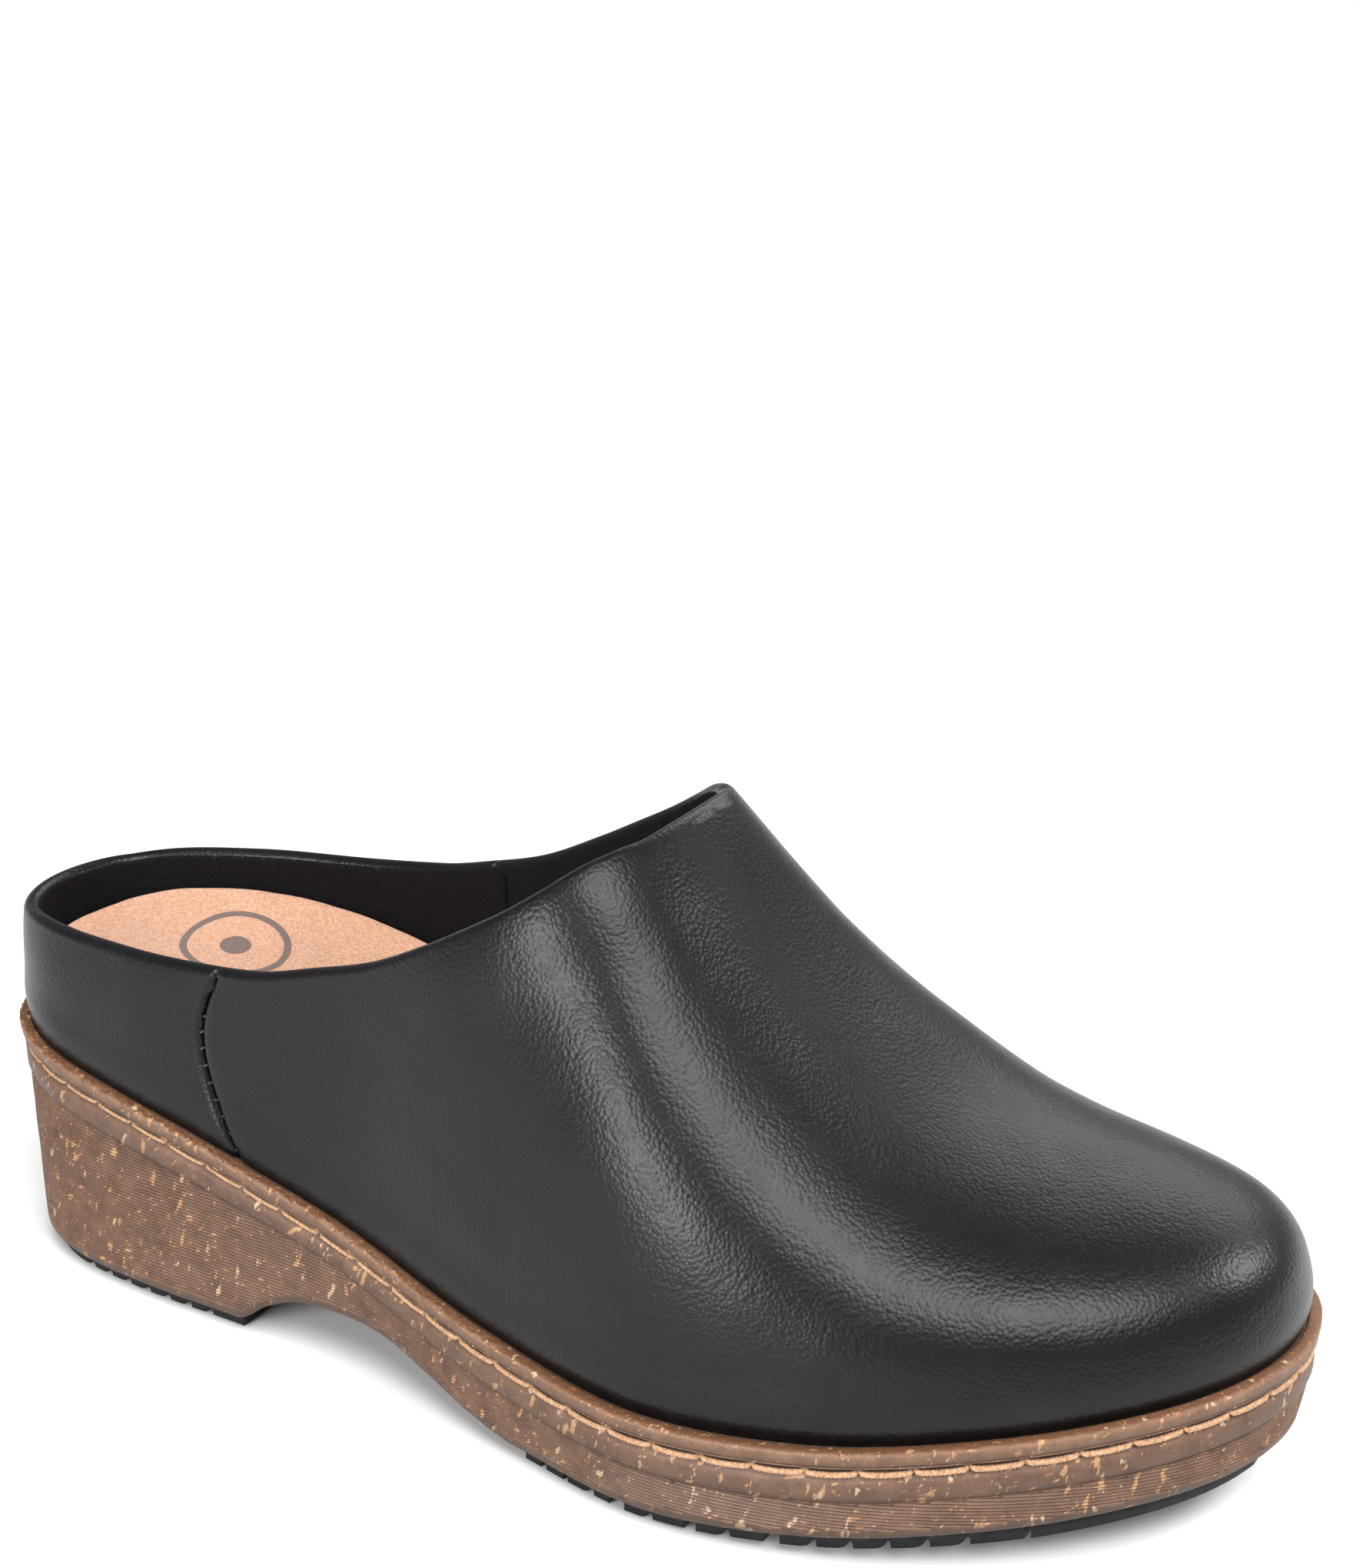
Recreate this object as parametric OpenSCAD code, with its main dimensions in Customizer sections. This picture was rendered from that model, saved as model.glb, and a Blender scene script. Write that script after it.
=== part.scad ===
// Clog for the right foot: moulded composite base with rubber treads and a leather upper.
// Millimetres. +X runs to the toe, +Y to the inner side of the foot, +Z up.

/* [Sub-part] */

// Sub-part to draw

/* [Base] */

// Length of the upper where it meets the base, from heel to toe
sole_length = 272.4; // [250:0.2:295]
// Thickness of the rubber treads under the heel
tread_t = 2.8; // [2.4:0.1:4]
// Thickness of the stitched welt around the top of the base
welt_t = 3; // [2:0.5:3.5]
// Width of the welt ledge outside the upper
welt_ledge = 2.4; // [2:0.2:3.6]
// Depth of the lightening recess under the insole board
recess_t = 5; // [3:0.5:6]

/* [Upper] */

// Thickness of the upper leather
leather_t = 1.8; // [1.2:0.1:2.2]
// Thickness of the stiffeners between leather and lining
stiffener_t = 0.8; // [0.5:0.1:1]
// Thickness of the lining
lining_t = 0.8; // [0.5:0.1:1.2]
// Lift of the whole topline above its standard height
topline_lift = 0; // [-4:0.5:4]
// Place of the outer side seam along the shoe
seam_x = 62; // [50:1:75]
// Place of the inner side seam along the shoe
inner_seam_x = 87; // [70:1:95]

/* [Stitching] */

// Distance between the stitches of the welt
welt_pitch = 9.6; // [7:0.2:12]
// Radius of the welt thread
welt_thread_r = 0.8; // [0.5:0.1:1]
// Distance between the stitches of the side seams
seam_pitch = 3.6; // [3:0.2:6]

/* [Footbed] */

// Depth of the cup under the heel
cup_depth = 5; // [2:0.5:6]
// Thickness of the covering on the footbed
cover_t = 1.2; // [0.8:0.1:2]

/* [Hidden] */

base_length = 268.4;
heel_back = 4;
heel_lean = 6.5;
sx = sole_length / (base_length + heel_back);
gap = 0.06;

// Half widths where upper and base meet, at equal steps of the outline angle, heel to toe
side_outer = [-4, -19.6, -29.8, -34.2, -35.8, -38.2, -46.6, -53.8, -49.9, -38.4, -22.9, -5.7,
    12.4];
side_inner = [-4, 12.8, 23.8, 33.4, 37.6, 34, 34.4, 43, 49.7, 47.2, 40.4, 29.8, 12.4];
outline_step = 15;

// Heights along the shoe, each pair a place along it and a height
welt_top = [[0, 52], [40, 45.8], [80, 36.6], [120, 27.2], [160, 23.4], [200, 24.8], [235, 29],
    [268.4, 33.4]];
rocker = [[140, 0], [165, 0], [178, 0.6], [205, 2.7], [235, 5.8], [255, 8.4], [268.4, 10]];
tread_growth = [[0, 1], [160, 1], [200, 1.1], [235, 1.36], [268.4, 1.36]];
arch = [[60, 0], [65, 0.4], [71, 4.6], [79, 8.2], [90, 9.4], [101, 8.8], [112, 5.8], [124, 2.2],
    [134, 0.2], [140, 0]];
topline = [[0, 76.2], [10, 77.3], [25, 77.6], [50, 78.2], [70, 80.4], [83, 84], [98, 89],
    [112, 96.2], [121, 101.4], [130, 106.8], [137, 111.6], [142, 115.2], [146, 117.1],
    [149, 118], [153, 121.2], [175, 150]];
ridge = [[0, 108], [50, 112], [80, 133], [110, 149.5], [130, 140], [150, 119.1], [170, 96.5],
    [190, 78.6], [210, 66], [235, 60.6], [268.4, 60]];
ridge_y = [[48, 0], [120, 2.7], [170, 5.7], [225, 15.8]];
footbed_edge = [[0, 66.5], [12, 68.8], [25, 69], [40, 67.2], [52, 65], [65, 62], [78, 58.4],
    [100, 50], [130, 38.6], [160, 31.4], [200, 30.4], [235, 33.6], [268.4, 37.6]];
footbed_cup = [[0, 0.9], [40, 1], [80, 0.9], [120, 0.6], [160, 0.3], [268.4, 0.2]];
heel_end = 60;
heel_reach = 40;
toe_end = 140;
toe_reach = 46;
plan_power = [2.6, 2.46];
rise_power = [2.34, 3.36];

wall_stack = leather_t + stiffener_t + lining_t + 2 * gap;
footbed_inset = wall_stack + 2;

// Angles of the stations from heel to toe, closer together at the front of the heel
half_angles = [for (t = [0:4:52]) t, for (t = [54:2:72]) t, for (t = [76:4:180]) t];
ring_angles = concat(half_angles, [for (i = [len(half_angles) - 2:-1:1]) 360 - half_angles[i]]);

// Smooth curve through a table of pairs, level beyond its ends
function slope(t, i) = i == 0 ? (t[1][1] - t[0][1]) / (t[1][0] - t[0][0])
    : i == len(t) - 1 ? (t[i][1] - t[i - 1][1]) / (t[i][0] - t[i - 1][0])
    : (t[i + 1][1] - t[i - 1][1]) / (t[i + 1][0] - t[i - 1][0]);
function span(t, x, i = 0) = i >= len(t) - 2 || x < t[i + 1][0] ? i : span(t, x, i + 1);
function hermite(a, b, ma, mb, h, u) = (2 * u ^ 3 - 3 * u ^ 2 + 1) * a
    + (u ^ 3 - 2 * u ^ 2 + u) * h * ma + (3 * u ^ 2 - 2 * u ^ 3) * b + (u ^ 3 - u ^ 2) * h * mb;
function curve(t, x) = let (
    q = max(t[0][0], min(t[len(t) - 1][0], x / sx)),
    i = span(t, q),
    h = t[i + 1][0] - t[i][0])
    hermite(t[i][1], t[i + 1][1], slope(t, i), slope(t, i + 1), h, (q - t[i][0]) / h);

// Outline of the base: angle 0 is the heel, 180 the toe, the outer side comes first
function side_at(k) = let (n = len(side_outer) - 1, j = (k + 2 * n) % (2 * n))
    j <= n ? side_outer[j] : side_inner[2 * n - j];
function outline_y(a) = let (
    k = floor(a / outline_step),
    u = a / outline_step - k,
    p = [for (j = [-1:2]) side_at(k + j)])
    hermite(p[1], p[2], (p[2] - p[0]) / 2, (p[3] - p[1]) / 2, 1, u);
function outline_at(a) = [
    sx * (base_length / 2 * (1 - cos(a)) - heel_back * ((1 + cos(a)) / 2) ^ 2.4), outline_y(a)];
function angle_of(x, lo = 0, hi = 180, n = 18) = let (m = (lo + hi) / 2)
    n == 0 ? m : outline_at(m)[0] < sx * x ? angle_of(x, m, hi, n - 1)
    : angle_of(x, lo, m, n - 1);
function inward(a) = let (d = outline_at(a + 0.5) - outline_at(a - 0.5)) [-d[1], d[0]] / norm(d);
function inset_at(a, inset) = outline_at(a) + inset * inward(a);
function rim_at(a, inset) = inset_at(a, inset - welt_ledge);

function middle(v) = (max(v) + min(v)) / 2;
rim_points = [for (a = ring_angles) rim_at(a, 0)];
centre_x = middle([for (p = rim_points) p[0]]);
centre_y = middle([for (p = rim_points) p[1]]);

function tread_depth(x) = tread_t * curve(tread_growth, x);
function base_bottom(x) = tread_depth(x) + curve(x / sx < 140 ? arch : rocker, x);
function recess_floor(x) = curve(welt_top, x) - welt_t - recess_t;
function board_top(x) = curve(welt_top, x) - gap;
function footbed_mid(a) = let (p = outline_at(a), q = outline_at(360 - a))
    [sx * 20 + 225 / base_length * p[0], (p[1] + q[1]) * 0.47];
function cup(x, r) = cup_depth * curve(footbed_cup, x) * (1 - r ^ 2.4);
function footbed_top(x, r) = curve(footbed_edge, x) - cup(x, r);

// Outer face of the upper: r is 1 at the welt and 0 along the ridge
function spine_x(x) = let (
    q = x / sx,
    toe = max(0, q - toe_end) / (base_length - toe_end),
    heel = max(0, heel_end - q) / heel_end)
    sx * (q - toe_reach * toe ^ 2.2 + heel_reach * heel ^ 2.2);
function blend(pair, s) = let (w = max(0, min(1, (s / sx - 140) / 80)))
    pair[0] + (pair[1] - pair[0]) * w * w * (3 - 2 * w);
function rise_at(s, r) = (1 - min(1, r) ^ blend(plan_power, s)) ^ (1 / blend(rise_power, s));
function reach_at(s, rise) = (1 - rise ^ blend(rise_power, s)) ^ (1 / blend(plan_power, s));
function upper_at(a, r) = let (
    f = outline_at(a),
    o = f[0],
    s = spine_x(o),
    foot = curve(welt_top, o),
    x = s + (o - s) * r,
    rise = rise_at(s, r),
    lean = sx * heel_lean * max(0, 1 - o / sx / 50) ^ 2 * rise)
    [x - lean, curve(ridge_y, s) * (1 - r) + f[1] * r,
        foot + (curve(ridge, x) + topline_lift - foot) * rise];
function upper_normal(a, r) = let (
    q = max(0.03, min(0.985, r)),
    da = upper_at(a + 0.6, q) - upper_at(a - 0.6, q),
    dr = upper_at(a, q - 0.012) - upper_at(a, q + 0.012),
    n = cross(da, dr))
    n / norm(n);
function layer_at(a, r, depth) = upper_at(a, r) - depth * upper_normal(a, r);

// Where a column of the upper meets the topline, lowered by drop; 0 means it reaches the ridge
function above(a, r, drop) = let (p = upper_at(a, r))
    p[2] - curve(topline, p[0] - drop) - topline_lift + drop;
function first_above(a, drop, r = 0.99) = r <= 0 ? 0
    : above(a, r, drop) >= 0 ? r : first_above(a, drop, r - 0.01);
function refine(a, drop, lo, hi, n = 12) = let (m = (lo + hi) / 2)
    n == 0 ? m : above(a, m, drop) >= 0 ? refine(a, drop, m, hi, n - 1)
    : refine(a, drop, lo, m, n - 1);
function edge_r(a, drop) = let (r = first_above(a, drop))
    r <= 0 ? 0 : refine(a, drop, r, r + 0.01);
function throat_angle(drop, lo = 85, hi = 125, n = 16) = let (m = (lo + hi) / 2)
    n == 0 ? hi : above(m, 0, drop) >= 0 ? throat_angle(drop, m, hi, n - 1)
    : throat_angle(drop, lo, m, n - 1);

function flipped(f) = [for (q = f) [for (i = [len(q) - 1:-1:0]) q[i]]];

// Flat strip across a ring whose first point is the heel end and whose middle one is the toe end
function strip(o, n) = [
    [o, o + n - 1, o + 1],
    for (i = [1:n / 2 - 2]) [o + i, o + n - i, o + n - i - 1, o + i + 1],
    [o + n / 2 - 1, o + n / 2 + 1, o + n / 2]];

// Closed solid through rings of points, from the top ring to the bottom one
module ring_loft(rings) {
    n = len(rings[0]);
    m = len(rings);
    sides = [for (j = [0:m - 2]) for (i = [0:n - 1])
        let (k = (i + 1) % n) [j * n + i, j * n + k, (j + 1) * n + k, (j + 1) * n + i]];
    polyhedron([for (r = rings) each r],
        concat(strip(0, n), sides, flipped(strip((m - 1) * n, n))));
}

// Bar through sections of points, closed into a loop or capped at its ends
module bar_loft(sections, loop = false) {
    n = len(sections[0]);
    m = len(sections);
    last = loop ? m - 1 : m - 2;
    sides = [for (j = [0:last]) for (i = [0:n - 1])
        let (k = (i + 1) % n, l = (j + 1) % m) [j * n + i, j * n + k, l * n + k, l * n + i]];
    caps = loop ? [] : [[for (i = [n - 1:-1:0]) i], [for (i = [0:n - 1]) (m - 1) * n + i]];
    polyhedron([for (s = sections) each s], flipped(concat(sides, caps)));
}

// Straight thread between two points
module thread(p, q, r) {
    d = q - p;
    translate(p)
        rotate([0, acos(d[2] / norm(d)), atan2(d[1], d[0])])
            cylinder(h = norm(d), r = r, $fn = 16);
}

module place() {
    translate([-centre_x, -centre_y, 0])
        children();
}

// Ring at a distance inside the rim of the base, and at a height that depends on x
function ring(inset, height) = [for (a = ring_angles) let (p = rim_at(a, inset))
    [p[0], p[1], height(p[0])]];

// Base

module clog_sole() {
    top = function (x) curve(welt_top, x) - welt_t - gap;
    place()
        color([0.42, 0.31, 0.23])
            ring_loft([
                ring(10, function (x) recess_floor(x)),
                ring(10, top),
                ring(0.4, top),
                ring(0.6, function (x) top(x) - 0.1),
                ring(2.0, function (x) top(x) - 1.6),
                ring(0.9, function (x) top(x) - 3.1),
                ring(0.9, function (x) top(x) - 6.8),
                ring(1.5, function (x) top(x) - 7.3),
                ring(2.4, function (x) base_bottom(x) + 2.2),
                ring(4.0, function (x) base_bottom(x))]);
}

module tread_area(x0, x1) {
    intersection() {
        polygon([for (a = ring_angles) rim_at(a, 4.8)]);
        translate([x0 * sx, -100])
            square([(x1 - x0) * sx, 200]);
    }
}

notch_depth = 1.2;
heel_notches = [for (i = [0:6]) 20.6 + 5.75 * i];

// Grooves across a tread, cut to the same depth all along it
module grooves(places, width) {
    for (x = places)
        translate([x * sx, -100, curve(rocker, x * sx) - 5])
            cube([width, 200, 5 + notch_depth]);
}

module heel_tread() {
    place()
        color([0.08, 0.08, 0.08])
            difference() {
                linear_extrude(height = tread_t - gap)
                    tread_area(-10, 64);
                grooves(heel_notches, 1);
            }
}

ball_bars = [[139.1, 143.2], [144.5, 149], [150, 160.6]];
ball_notches = [156];

module ball_tread() {
    place()
        color([0.08, 0.08, 0.08])
            difference() {
                for (b = ball_bars)
                    linear_extrude(height = tread_t - gap)
                        tread_area(b[0], b[1]);
                grooves(ball_notches, 1);
            }
}

toe_blocks = [[164, 177.2], [179.5, 192.6], [195.6, 236.3], [237.3, 267.8]];
toe_notches = [169.8, 185.6, for (i = [0:4]) 201.6 + 6.4 * i];

// Ring around the stretch of the outline between two places along the shoe
function block_ring(x0, x1, inset, height) = let (
    a0 = angle_of(x0),
    a1 = angle_of(x1),
    side = [for (i = [0:12]) a0 + (a1 - a0) * i / 12],
    full = concat(side, [for (i = [12:-1:0]) 360 - side[i]]),
    p = [for (a = full) rim_at(a, inset + max(0, min(1, (outline_at(a)[0] / sx - 205) / 60)))],
    back = (p[0] + p[25]) / 2,
    front = (p[12] + p[13]) / 2,
    plan = concat([back], [for (i = [0:12]) p[i]], [front], [for (i = [13:25]) p[i]]))
    [for (q = plan) [q[0], q[1], height(q[0])]];

module toe_tread() {
    place()
        color([0.08, 0.08, 0.08])
            difference() {
                for (b = toe_blocks)
                    ring_loft([
                        block_ring(b[0], b[1], 4.8, function (x) base_bottom(x) - gap),
                        block_ring(b[0], b[1], 5, function (x) curve(rocker, x))]);
                grooves(toe_notches, 1);
            }
}

module shank() {
    place()
        color([0.6, 0.62, 0.64])
            bar_loft([for (x = [30:8:142]) let (z = recess_floor(x * sx) + gap)
                [[x * sx, -7, z], [x * sx, 7, z], [x * sx, 7, z + 1.2], [x * sx, -7, z + 1.2]]]);
}

module bottom_filler() {
    place()
        color([0.6, 0.45, 0.3])
            ring_loft([
                ring(10.2, function (x) curve(welt_top, x) - welt_t - gap),
                ring(10.2, function (x) recess_floor(x) + 1.2 + 3 * gap)]);
}

module insole_board() {
    place()
        color([0.7, 0.6, 0.45])
            ring_loft([
                ring(welt_ledge + gap, function (x) board_top(x)),
                ring(welt_ledge + gap, function (x) curve(welt_top, x) - welt_t + gap)]);
}

// Across the welt: parts of its width from the rim, parts of its thickness from the top
welt_section = [[0.2, 0], [0.04, -0.16], [0, -0.46], [0.12, -0.87], [0.33, -1], [1, -1], [1, 0]];

module welt() {
    place()
        color([0.55, 0.38, 0.25])
            bar_loft([for (a = ring_angles)
                [for (s = welt_section)
                    let (p = rim_at(a, s[0] * welt_ledge))
                    [p[0], p[1], curve(welt_top, p[0]) + s[1] * (welt_t - gap)]]], loop = true);
}

lengths = [for (i = 0, l = 0; i <= 180; l = l + norm(rim_at(2 * i + 2, 0) - rim_at(2 * i, 0)),
    i = i + 1) l];
stitch_count = round(lengths[180] / welt_pitch);

function angle_at(l, i = 0) = i >= 179 || lengths[i + 1] > l
    ? 2 * (i + (l - lengths[i]) / (lengths[i + 1] - lengths[i])) : angle_at(l, i + 1);
function welt_point(l) = let (p = rim_at(angle_at(l), 0.85))
    [p[0], p[1], curve(welt_top, p[0]) - welt_t - gap - 1.6];

module welt_stitching() {
    step = lengths[180] / stitch_count;
    place()
        color([0.78, 0.62, 0.45])
            for (i = [0:stitch_count - 1])
                thread(welt_point(i * step), welt_point((i + 0.84) * step), welt_thread_r);
}

// Footbed

function footbed_ring(r, drop, inset = footbed_inset) = [for (a = ring_angles) let (
    e = inset_at(a, inset),
    m = footbed_mid(a),
    p = m + (e - m) * r)
    [p[0], p[1], footbed_top(p[0], r) - drop]];

module footbed_layer(top, bottom) {
    ring_loft(concat(
        [for (r = [0.05, 0.3, 0.55, 0.8, 1]) footbed_ring(r, top)],
        [for (r = [1, 0.8, 0.55, 0.3, 0.05]) footbed_ring(r, bottom)]));
}

foam_t = 2;

module footbed_core() {
    place()
        color([0.35, 0.3, 0.26])
            ring_loft(concat(
                [for (r = [0.05, 0.3, 0.55, 0.8, 1]) footbed_ring(r, cover_t + foam_t + 2 * gap)],
                [ring(footbed_inset + welt_ledge, function (x) board_top(x) + gap)]));
}

module footbed_foam() {
    place()
        color([0.9, 0.85, 0.7])
            footbed_layer(cover_t + gap, cover_t + foam_t);
}

module footbed_cover() {
    place()
        color([0.86, 0.66, 0.5])
            footbed_layer(0, cover_t);
}

// Upper

function row_r(a, top_r, w) = let (
    p = blend(plan_power, spine_x(outline_at(a)[0])),
    end = acos(top_r ^ (p / 2)))
    w >= 1 ? top_r : cos(end * w) ^ (2 / p);

// Shell between two depths under the outer face, in columns around the outline.
// Columns that reach the ridge share their top points with the column across from them.
module upper_shell(angles, tops, rows, outer, inner) {
    n = len(angles);
    m = rows + 1;
    block = n * m;
    function grid(depth) = [for (i = [0:n - 1]) for (j = [0:rows])
        let (
            q = layer_at(angles[i], row_r(angles[i], tops[i], j / rows), depth),
            foot = curve(welt_top, outline_at(angles[i])[0]))
        [q[0], q[1], j == 0 ? foot : max(q[2], foot)]];
    function at(i, j) = j == rows && tops[i] == 0 && i > n / 2 ? (n - 1 - i) * m + j : i * m + j;
    face = [for (i = [0:n - 2]) for (j = [0:rows - 1])
        [at(i, j), at(i + 1, j), at(i + 1, j + 1), at(i, j + 1)]];
    foot_rim = [for (i = [0:n - 2]) [i * m, block + i * m, block + (i + 1) * m, (i + 1) * m]];
    top_rim = [for (i = [0:n - 2]) if (tops[i] > 0 || tops[i + 1] > 0)
        [at(i, rows), at(i + 1, rows), block + at(i + 1, rows), block + at(i, rows)]];
    ends = [for (j = [0:rows - 1]) each [
        [j, j + 1, block + j + 1, block + j],
        [block + (n - 1) * m + j, block + (n - 1) * m + j + 1, (n - 1) * m + j + 1, (n - 1) * m + j]]];
    back = [for (f = flipped(face)) [for (k = f) block + k]];
    polyhedron(concat(grid(outer), grid(inner)),
        flipped(concat(face, back, foot_rim, top_rim, ends)));
}

function mirrored(list) = [for (i = [len(list) - 2:-1:0]) 360 - list[i]];
function there_and_back(list) = concat(list, mirrored(list));

roll_r = wall_stack / 2;

module vamp_shell(outer, inner, drop, joints, rows) {
    apex = throat_angle(drop);
    function half(x) = let (start = angle_of(x)) concat(
        [for (i = [0:19]) start + (apex - start) * (1 - (1 - i / 20) ^ 2.6)],
        [for (i = [0:21]) apex + (180 - apex) * (0.4 * i / 21 + 0.6 * (i / 21) ^ 1.6)]);
    list = concat(half(joints[0]), mirrored(half(joints[1])));
    last = len(list) - 1;
    tops = [for (i = [0:last]) min(i, last - i) < 20 ? edge_r(list[i], drop) : 0];
    upper_shell(list, tops, rows, outer, inner);
}

module back_shell(outer, inner, drop, joints, rows) {
    ends = [for (x = joints) angle_of(x)];
    list = [for (i = [-17:17]) (i > 0 ? ends[0] : ends[1]) * i / 17];
    upper_shell(list, [for (a = list) edge_r(a, drop)], rows, outer, inner);
}

seams = [seam_x, inner_seam_x];
lining_joints = [seam_x + 12, inner_seam_x + 2.6];
shell_drop = 2 * roll_r + gap;
stiffener_depth = leather_t + gap;
lining_depth = leather_t + stiffener_t + 2 * gap;
tape_half = 6;

module vamp() {
    place()
        color([0.1, 0.1, 0.11])
            vamp_shell(0, leather_t, shell_drop, [for (x = seams) x + 0.3], 12);
}

module quarter() {
    place()
        color([0.1, 0.1, 0.11])
            back_shell(0, leather_t, shell_drop, [for (x = seams) x - 0.3], 5);
}

module vamp_lining() {
    place()
        color([0.2, 0.2, 0.22])
            vamp_shell(lining_depth, lining_depth + lining_t, shell_drop,
                [for (x = lining_joints) x + 0.2], 10);
}

module quarter_lining() {
    place()
        color([0.2, 0.2, 0.22])
            back_shell(lining_depth, lining_depth + lining_t, shell_drop,
                [for (x = lining_joints) x - 0.2], 4);
}

module toe_puff() {
    start = angle_of(222);
    list = there_and_back([for (i = [0:14]) start + (180 - start) * i / 14]);
    place()
        color([0.8, 0.78, 0.7])
            upper_shell(list, [for (a = list) 0.3], 6, stiffener_depth,
                stiffener_depth + stiffener_t);
}

module heel_counter() {
    place()
        color([0.8, 0.78, 0.7])
            back_shell(stiffener_depth, stiffener_depth + stiffener_t, shell_drop + 4,
                [for (x = seams) x - tape_half - 1], 4);
}

// Strip behind a side seam: side is 1 for the outer one and -1 for the inner one
module seam_tape(side, x) {
    lo = angle_of(x - tape_half);
    hi = angle_of(x + tape_half);
    list = [for (i = [0:4]) side * (lo + (hi - lo) * (side > 0 ? i : 4 - i) / 4)];
    upper_shell(list, [for (a = list) edge_r(a, shell_drop)], 4, stiffener_depth,
        stiffener_depth + stiffener_t);
}

module seam_tape_outer() {
    place()
        color([0.85, 0.85, 0.8])
            seam_tape(1, seam_x);
}

module seam_tape_inner() {
    place()
        color([0.85, 0.85, 0.8])
            seam_tape(-1, inner_seam_x);
}

module topline_roll() {
    apex = throat_angle(roll_r);
    list = concat([for (i = [0:17]) apex * 0.55 * i / 18],
        [for (i = [0:18]) apex * (0.55 + 0.45 * (1 - (1 - i / 18) ^ 2.6))]);
    all = concat(list, [for (i = [len(list) - 2:-1:1]) -list[i]]);
    n = len(all);
    r = [for (a = all) abs(a) == apex ? 0 : edge_r(a, roll_r)];
    q = [for (i = [0:n - 1]) layer_at(all[i], r[i], roll_r)];
    place()
        color([0.12, 0.12, 0.13])
            bar_loft([for (i = [0:n - 1]) let (
                t = q[(i + 1) % n] - q[(i + n - 1) % n],
                w = cross(t, upper_normal(all[i], r[i])),
                b = w / norm(w),
                c = cross(b, t) / norm(t))
                [for (k = [315:-45:0]) q[i] + roll_r * (cos(k) * b + sin(k) * c)]], loop = true);
}

stitch_r = 0.3;

// Row of stitches beside a side seam
module seam_row(side, x) {
    a = angle_of(x - 3);
    s = spine_x(outline_at(a)[0]);
    low = 0.02;
    high = rise_at(s, edge_r(a, shell_drop));
    count = floor((upper_at(a, reach_at(s, high))[2] - curve(welt_top, s)) / seam_pitch);
    step = (high - low) / count;
    for (i = [0:count - 1]) {
        p = upper_at(side * a, reach_at(s, low + step * i));
        q = upper_at(side * a, reach_at(s, low + step * (i + 0.6)));
        out = upper_normal(side * a, reach_at(s, high / 2)) * (stitch_r + 0.05);
        thread(p + out, q + out, stitch_r);
    }
}

module seam_stitching() {
    place()
        color([0.05, 0.05, 0.05]) {
            seam_row(1, seam_x);
            seam_row(-1, inner_seam_x);
        }
}

clog_sole();
heel_tread();
ball_tread();
toe_tread();
shank();
bottom_filler();
insole_board();
welt();
welt_stitching();
footbed_core();
footbed_foam();
footbed_cover();
vamp();
quarter();
toe_puff();
heel_counter();
vamp_lining();
quarter_lining();
topline_roll();
seam_tape_outer();
seam_tape_inner();
seam_stitching();
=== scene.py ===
import math

import bmesh
import bpy
import numpy as np
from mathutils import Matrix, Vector
from mathutils.geometry import tessellate_polygon


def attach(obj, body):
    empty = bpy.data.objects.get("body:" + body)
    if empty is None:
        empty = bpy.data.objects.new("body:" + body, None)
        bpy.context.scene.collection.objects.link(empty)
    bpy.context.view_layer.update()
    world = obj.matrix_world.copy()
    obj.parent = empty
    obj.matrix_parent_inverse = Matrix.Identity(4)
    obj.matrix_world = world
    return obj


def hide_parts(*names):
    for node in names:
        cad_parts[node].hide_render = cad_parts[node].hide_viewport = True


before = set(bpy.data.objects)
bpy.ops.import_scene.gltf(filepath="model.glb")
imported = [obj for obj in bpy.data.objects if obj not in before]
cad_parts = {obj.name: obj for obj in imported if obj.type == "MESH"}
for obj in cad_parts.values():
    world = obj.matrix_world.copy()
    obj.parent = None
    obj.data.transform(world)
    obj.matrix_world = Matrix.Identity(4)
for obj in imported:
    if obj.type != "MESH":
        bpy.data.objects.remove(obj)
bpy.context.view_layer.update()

# ---------------------------------------------------------------- driving dimensions, in mm
# x runs from the back of the heel to the toe, y to the inner side of the foot, z up.

LENGTH = 268.4          # of the upper where it meets the base, without the heel's overhang
HEEL_BACK = 4.0         # overhang of the heel behind x = 0
HEEL_LEAN = 6.5         # backward lean of the heel's wall, for a wall as high as the ridge
TREAD = 2.8             # thickness of the rubber treads under the heel
RAND = 3.0              # thickness of the rand around the top of the base
LEDGE = 2.4             # width of the rand outside the upper
GAP = 0.06              # clearance between neighbouring parts
LEATHER = 1.8
LINING = 0.8
STIFFENER = 0.8
WALL = LEATHER + STIFFENER + LINING + 2 * GAP
ROLL = WALL / 2         # radius of the folded topline
LINING_DEPTH = LEATHER + STIFFENER + 3 * GAP
SEAMS = (62.0, 87.0)    # places of the outer and the inner side seam along the shoe
LINING_JOINTS = (74.0, 89.6)    # the same for the lining
SEAM_BEND = (2.5, -1.7)  # degrees that a seam wanders at its foot and half way up
COVER = 1.2             # thickness of the footbed's covering
FOOTBED_INSET = WALL + 2
CUP = 5.0               # depth of the heel cup
STITCH = 9.6            # length of a stitch of the rand seam
THREAD_RUN = 0.85       # inset of the line that the rand seam is measured along
THREAD_LAY = 2.4        # length of one turn of the rand thread's twist
SEAM_STITCH = 3.6       # length of a stitch of the side seams
SEAM_GAP = 0.26         # half the gap between the vamp and the quarter
LINING_GAP = 0.2        # half the gap between the two linings
LINING_DROP = 0.9       # how far the linings stop below the topline
LINING_NAP = 0.12       # roughness of the linings' inner faces
TREAD_INSET = 4.85      # of the treads' edges inside the outer rim
TREAD_END = 0.35        # length of the last cells at each end of a tread
NOTCH = 1.0             # width of the notches in the treads
MARK_AT = (35.0, 7.0)   # middle of the ring printed on the footbed
MARK_R = 11.0           # its radius
MARK_W = 1.6            # width of its line

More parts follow.
